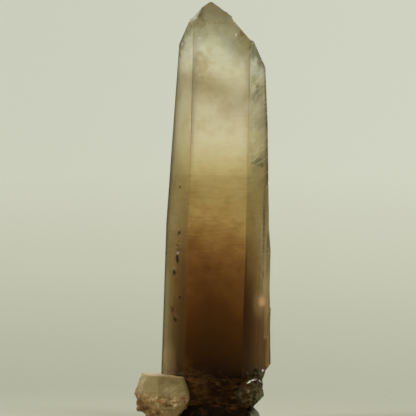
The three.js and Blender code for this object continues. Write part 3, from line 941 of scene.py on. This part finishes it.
# %% Where each finish shows
MILKY = [  # chipped spots, frosted white and brightened by a painted glow: across, along, half width and height, share
    (-8.1, 88.3, 1.6, 4, 0.4), (4.8, 86.8, 3.4, 5, 0.5), (-6, 83, 1.8, 12, 0.3),
]
GLOWING_CHIPS = [  # the same
    (11.9, 12.9, 0.26, 0.42, 1), (12.1, 57.6, 0.25, 0.8, 1), (3.2, 92.3, 0.25, 0.4, 0.9),
    (-5.2, 91.2, 0.5, 0.25, 0.8), (-9.1, 40.4, 0.28, 0.4, 0.26), (-9.9, 36.7, 0.2, 0.5, 0.14),
]
GLINTS = [  # the bright core, its halo, the strip above and a sheen on the left
    (11.25, 29.3, 1.5, 2.3, 1), (11.2, 28.8, 3, 5, 1), (11.8, 34, 1, 14, 0.16),
    (-10.4, 13.5, 2, 7, 0.09),
]
DARK_SHEET_COVER = 0.55  # the most that the dark brown sheet covers: painted shade beside the foot, and the two dark lines


def milky_share(across, along, grain):
    """Veils everywhere, thin feathers on the right face, a haze and patches at the tip."""
    veil = grain.noise(160, 5, (1, 1, 0.45)).step(0.4, 0.75, 0.04, 0.26)
    feather = grain.noise(420, 5, (1, 1, 0.4), (0.2, 0, 0.1))
    feather = abs(feather - 0.5).step(0.05, 0, 0, 0.6)
    feather = feather * along.step(56, 64) * across.step(6, 8)
    tip_haze = along.step(86, 93, 0, 0.4)
    share = (veil + feather + tip_haze) * along.step(20, 60, 0.1, 1)
    for here in patches(across, along, MILKY):
        share = share + here
    low_rim = abs(across).step(9.4, 11.4) * along.step(55, 30)
    return share + low_rim * 0.6


def crust_share(across, along, rough, grain, fine):
    """The rough foot, its uneven upper edge on the front, and loose flecks above it."""
    uneven = along + (fine - 0.5) * 6
    flecks = grain.noise(900, 5, (1, 1, 0.6)).step(0.47, 0.6)
    flecks = flecks * uneven.step(17, 9) * 0.7
    foot = uneven.step(14.5, 9.5) * across.step(-7.4, -5.4)
    return rough.step(0, 0.1).either(foot).either(flecks)


def pit_share(pit, grain):
    """The floors of the etched pits, with a ragged edge."""
    ragged = pit + (grain.noise(1500, 4) - 0.5) * 3.4
    return ragged.step(0.5, 0.8) * pit.step(0.01, 0.12)


def shade_and_line_share(across, along, depth, fine):
    """Painted shade beside the front face near the foot, a dark brown sheet that dims the glass's
    reflection there, and the two dark lines on the right face.
    """
    # painted shade: a dark brown sheet beside the front face near the foot, over its reflection
    shade_and_lines = across.step(6.8, 6.9) * across.step(10.2, 7.4)
    shade_and_lines = shade_and_lines * along.step(40, 26) * DARK_SHEET_COVER
    for aside, low, high in DARK_LINES:
        dark_line = abs(across - aside).step(0.16, 0.06) * depth.step(2, 0)
        dark_line = dark_line * along.between(low, high, 3) * fine.step(0.3, 0.6)
        shade_and_lines = shade_and_lines.either(dark_line * DARK_SHEET_COVER)
    return shade_and_lines


def chip_and_highlight_share(across, along, depth, narrow, fine):
    """Painted highlights on the narrow faces at the tip and in a crescent on top of the knob, and
    the fresh chipped spots.
    """
    # painted highlights on the two narrow tip faces
    chips_and_highlights = narrow * across.step(-4, 0, 0.25, 0.9)
    for here in patches(across, along, GLOWING_CHIPS, (fine - 0.5) * 3):
        chips_and_highlights = chips_and_highlights.either(here)
    # painted highlight: a crescent along the top of the knob
    aside, up = (across - 9.9) / 2, (along - 9.1) / 1.8
    ring = abs(aside * aside + up * up - 1)
    crescent = (ring + (fine - 0.5) * 0.9).step(0.14, 0.03) * up.step(0.35, 0.7)
    return chips_and_highlights.either(crescent * 0.8) * depth.step(3, 1)


def glint_share(across, along, depth):
    """A bright core in a faint halo, and two weak sheens, on the front half only."""
    core, halo, strip, sheen = patches(across, along, GLINTS)
    glint = core * core * core * core * 0.6 + halo * halo * 0.2
    return glint.either(strip.either(sheen)) * depth.step(4, 2)


# %% The crystal's material
QUARTZ_IOR = 1.544
ABSORPTION = {"Color": (0.92, 0.85, 0.7, 1), "Density": 8}  # through the depth, per metre


def glowing(shader, colour, roughness, glow, strength):
    """A dull finish with a weak light of its own."""
    return shader.principled(
        Base_Color=rgba(*colour), Roughness=roughness, Emission_Color=rgba(*glow),
        Emission_Strength=strength,
    )


def quartz_finish():
    """The six finishes in their order, with a weak absorption inside the crystal."""
    material = bpy.data.materials.new("smoky_quartz_look")
    shader = Shader(material)
    x, depth, z = shader.place().axes()
    along = z + x * math.sin(LEAN)
    across = x - z * math.sin(LEAN)
    grain = from_axes(across, depth, along)
    fields = {name: shader.field(name) for name in ("slim", "pit", "edge", "rough", "narrow")}
    fine = grain.noise(1900, 3)
    tint = smoky_tint(across, along, fields, grain)
    striae = grain.noise(2600, 2, (0.02, 0.02, 1))
    glass = shader.principled(
        Base_Color=tint, Roughness=along.step(30, 52, 0.16, 0.4), IOR=QUARTZ_IOR,
        Transmission_Weight=1, Normal=striae.bump(0.00001),
    )
    milky = shader.principled(
        Base_Color=tint, Roughness=0.85, IOR=QUARTZ_IOR, Transmission_Weight=1,
    )
    crust = mottled_crust(shader, across, along, depth, grain)
    pit = pit_share(fields["pit"], grain)
    # dark brown for the pit floors, and for the painted shade beside the foot
    shade_and_pit_brown = shader.principled(
        Base_Color=pit.mix(rgba(74, 44, 12), rgba(48, 38, 20)), Roughness=0.9,
        Specular_IOR_Level=0.05,
    )
    # frosted white with a painted glow: for the chipped spots and the painted highlights
    frost_and_highlight = glowing(shader, (252, 252, 236), 0.6, (248, 250, 236), 0.24)
    # painted highlight: a peach glow on the right face, with a weak light of its own
    warm_glint = glowing(shader, (248, 204, 146), 0.9, (255, 204, 144), 0.16)
    look = milky_share(across, along, grain).blend(glass, milky)
    covered = crust_share(across, along, fields["rough"], grain, fine)
    look = covered.blend(look, crust)
    shade_and_lines = shade_and_line_share(across, along, depth, fine)
    look = shade_and_lines.either(pit * 0.9).blend(look, shade_and_pit_brown)
    chips_and_highlights = chip_and_highlight_share(across, along, depth, fields["narrow"], fine)
    look = chips_and_highlights.blend(look, frost_and_highlight)
    look = glint_share(across, along, depth).blend(look, warm_glint)
    shader.finish(look, shader.node("ShaderNodeVolumeAbsorption", {}, ABSORPTION))
    return material


# %% [markdown]
# ## Feldspar and rock finishes
# Clean cleavage faces of feldspar are pale and even, and weather reaches the rough lower
# half first, so rust, veins and crumbs come in below one height. The rock is dull and dark
# with brown patches. Both are solid colours over a bump, since no light passes through.

# %% The feldspar's finish
def feldspar_finish():
    """Pale and even above; below, crumbs, veins, rust and dots laid on in turn, with painted light
    and shade towards the right end.
    """
    material = bpy.data.materials.new("feldspar_look")
    shader = Shader(material)
    place = shader.place()
    x, y, z = place.axes()
    fine = place.noise(1300, 5)
    broad = place.noise(300, 4)
    low = (z + (broad - 0.5) * 3).step(8.6, 6.6)
    pale = broad.mix(rgba(158, 138, 88), rgba(184, 164, 112))
    # painted shade: the faces a little darker towards the right, away from the key lamp
    away = (x + (broad - 0.5) * 4).step(-15.8, -11)
    colour = pale.stain_and_shade(away * 0.8, (244, 240, 232))
    light = patch(x, z, (-9.8, 7.6), (3.4, 2.8), (broad - 0.5) * 2)
    colour = (light * 0.45).mix(colour, rgba(216, 198, 148))
    crumbs = fine.step(0.38, 0.6).mix(rgba(166, 136, 78), rgba(208, 184, 130))
    # painted light: the crumbs lighter at the right, where the overhang shades them
    bright = x.step(-12, -8)
    crumbs = (bright * 0.4).mix(crumbs, rgba(220, 196, 140))
    colour = (low * 0.75).mix(colour, crumbs)
    vein = place.noise(820, 4, (1, 1, 1.6), (0.4, 0.1, 0.2)) - 0.5
    vein = abs(vein).step(0.04, 0.008)
    colour = (vein * (low * 0.7 + 0.06)).mix(colour, rgba(142, 88, 34))
    rust = place.noise(760, 5, shift=(0.4, 0.1, 0.2)).step(0.54, 0.66)
    colour = (rust * (low * 0.6 + 0.1)).mix(colour, rgba(150, 98, 38))
    dots = place.noise(2100, 3, shift=(0.1, 0.5, 0.3)).step(0.58, 0.66)
    colour = (dots * low * 0.6).mix(colour, rgba(112, 72, 30))
    under = z + x * 0.78 + 5.3 + (fine - 0.5) * 3
    ridge = abs(under - 0.5).step(0.6, 0.1) * z.step(8, 7)
    colour = (ridge * 0.25).mix(colour, rgba(214, 192, 144))
    rough = broad.step(0.4, 0.62).mix(rgba(116, 76, 34), rgba(190, 150, 88))
    colour = (under.step(0.2, -0.8) * 0.7).mix(colour, rough)
    stripe = from_axes(x + z * 0.35, y, z * 0.25)
    stripe = stripe.noise(1500, 3).step(0.46, 0.58)
    stripe = stripe * (x + z * 0.1).step(-15.2, -15.9)
    colour = (stripe * 0.8).mix(colour, rgba(128, 94, 50))
    # painted light: the lowest faces at the right lighter, where they face down into shade
    base = z.step(5, 3) * x.step(-12.5, -10.5)
    colour = (base * 0.6).mix(colour, rgba(216, 188, 130))
    # painted shade: the right end darker, where it meets the quartz
    right = (x - z * 0.1).step(-6.5, -5.6)
    colour = (right * 0.75).mix(colour, rgba(92, 66, 34))
    grit = broad * 0.7 + fine * 0.3 * z.step(8.5, 7, 0.3, 1)
    surface = shader.principled(
        Base_Color=colour, Roughness=0.6, Specular_IOR_Level=0.3, Normal=grit.bump(0.0005, 0.7),
    )
    shader.finish(surface)
    return material


# %% The rock's finish, and each piece put in place of its node
def rock_finish():
    """Dull and dark with brown patches, greenish grey at its right end."""
    material = bpy.data.materials.new("dark_rock_look")
    shader = Shader(material)
    place = shader.place()
    fine = place.noise(700, 5)
    brown = place.noise(420, 4).step(0.5, 0.68)
    colour = brown.mix(rgba(30, 20, 9), rgba(66, 40, 20))
    x = place.axes()[0]
    right_end = (x + (fine - 0.5) * 3).step(8.6, 9.6)
    green = fine.mix(rgba(72, 74, 56), rgba(204, 204, 172))
    colour = (right_end * 0.9).mix(colour, green)
    surface = shader.principled(
        Base_Color=colour, Roughness=0.8, Specular_IOR_Level=0.03, Normal=fine.bump(0.0002),
    )
    shader.finish(surface)
    return material


def finish_piece(piece, node, material):
    """Gives a piece its material, puts it under the root body, and hides the CAD node it stands
    for.
    """
    piece.data.materials.clear()
    piece.data.materials.append(material)
    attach(piece, "root")
    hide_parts(node)
    print(piece.name, "wears", material.name, "with", len(material.node_tree.nodes), "nodes")


finish_piece(quartz, "quartz_point", quartz_finish())
finish_piece(feldspar, "feldspar_crystal", feldspar_finish())
finish_piece(rock, "dark_matrix", rock_finish())
for piece in (feldspar, rock):
    piece.data.shade_smooth()

# %% [markdown]
# ## Studio
# A see-through crystal shows what is round it. It stands in front of a softly lit backdrop
# in an otherwise dim room, so it glows from behind and its front stays free of glare. The
# camera itself sees only an even, pale grey-green that darkens a little downwards.


# %% The room
BACKDROP_LIGHT = [  # from low to high: place on the ramp, linear light
    (0, (0.36, 0.35, 0.28)), (0.3, (0.44, 0.44, 0.36)), (0.48, (0.66, 0.68, 0.56)),
    (0.7, (0.86, 0.90, 0.80)), (1, (1, 1, 0.95)),
]


def studio_world():
    """An even backdrop for the camera's own sight, a brighter one for what glass bends."""
    world = bpy.data.worlds.new("studio")
    bpy.context.scene.world = world
    shader = Shader(world)
    direction = shader.node("ShaderNodeTexCoord", out="Generated")
    x, y, z = direction.axes(1)
    seen = z.step(-0.07, 0.07).ramp([
        (0, 176, 178, 156), (0.3, 195, 197, 176), (0.6, 206, 208, 190), (1, 204, 207, 190),
    ])
    sideways = x.step(-0.07, 0.07).mix((0.98, 0.98, 0.98, 1), (1.03, 1.03, 1.04, 1))
    seen = shader.mix(1, seen, sideways, "MULTIPLY")
    behind = y.step(0.46, 0.92, 0, 0.92) + y.step(-0.6, 0.4, 0.05, 0.175)
    behind = behind * x.step(-0.9, 0.9, 0.88, 1.12)
    height = {"Fac": z.step(-0.7, 0.7)}
    backdrop = shader.node("ShaderNodeValToRGB", {"stops": BACKDROP_LIGHT}, height)
    warm = y.step(0.9, 0.55)
    backdrop = warm.mix(backdrop, (1, 0.82, 0.46, 1), "MULTIPLY")
    around = shader.node("ShaderNodeBackground", {}, {0: backdrop, 1: behind})
    plain = shader.node("ShaderNodeBackground", {}, {0: seen})
    first_sight = shader.node("ShaderNodeLightPath", out="Is Camera Ray")
    shader.finish(first_sight.blend(around, plain), kind="ShaderNodeOutputWorld")
    print("the world has", len(world.node_tree.nodes), "nodes")


studio_world()


# %% [markdown]
# ## Floor and lights
# The floor catches the light round the foot and fades away farther out, so it has no edge.
# Two large lamps light the piece softly from the left and from above behind, a small one
# reaches the foot, and two cards light the upper edges.

# %% Floor
FLOOR_RADIUS = 400 * MM


def studio_floor():
    """A disc whose cover falls from full at 20 mm from its middle to none at 200 mm."""
    bpy.ops.mesh.primitive_circle_add(vertices=96, radius=FLOOR_RADIUS, fill_type="NGON")
    floor = bpy.context.object
    floor.name = "floor"
    material = bpy.data.materials.new("floor_look")
    shader = Shader(material)
    far = shader.node("ShaderNodeVectorMath", {"operation": "LENGTH"}, {0: shader.place()}, "Value")
    cover = 1 - far.step(0.02, 0.2)
    shader.finish(shader.principled(Base_Color=rgba(188, 190, 170), Roughness=0.9, Alpha=cover))
    floor.data.materials.append(material)
    print("floor:", round(FLOOR_RADIUS / MM), "mm in radius")


studio_floor()


# %% Lights
def soft_light(name, place, size, power, target=(0, 0, 50)):
    """A lamp of the given width and height that looks at a target, all in millimetres."""
    light = bpy.data.lights.new(name, "AREA")
    light.shape = "RECTANGLE"
    light.size, light.size_y = size[0] * MM, size[1] * MM
    light.energy = power
    lamp = add_object(name, light)
    lamp.location = Vector(place) * MM
    aim = Vector(target) * MM - lamp.location
    lamp.rotation_euler = aim.to_track_quat("-Z", "Y").to_euler()


soft_light("key", (-430, -200, 300), (220, 220), 1.5)
soft_light("above", (0, 430, 400), (260, 160), 1.2)
soft_light("front", (110, -150, 330), (90, 90), 0.32, target=(0, -60, 0))
soft_light("right card", (160, 125, 112), (120, 66), 0.017, target=(0, 0, 112))
soft_light("left card", (-160, 125, 112), (120, 66), 0.016, target=(0, 0, 112))
print("lamps:", [lamp.name for lamp in bpy.data.lights])

# %% [markdown]
# ## Camera
# A long lens, level with the middle of the crystal, looks straight at its front face.

# %% Camera
IMAGE_SPAN = 98.6 * MM  # width and height of the view at the crystal
VIEW_MIDDLE = (-0.8 * MM, -4 * MM, 51.2 * MM)
camera_data = bpy.data.cameras.new("camera")
camera_data.lens = 300
camera_data.sensor_width = 36
camera = add_object("camera", camera_data)
distance = IMAGE_SPAN * camera_data.lens / camera_data.sensor_width
camera.location = Vector(VIEW_MIDDLE) - Vector((0, distance, 0))
camera.rotation_euler = (math.radians(90), 0, 0)
bpy.context.scene.camera = camera
bpy.context.scene.view_settings.view_transform = "Standard"
print("the camera stands", round(distance / MM), "mm in front")
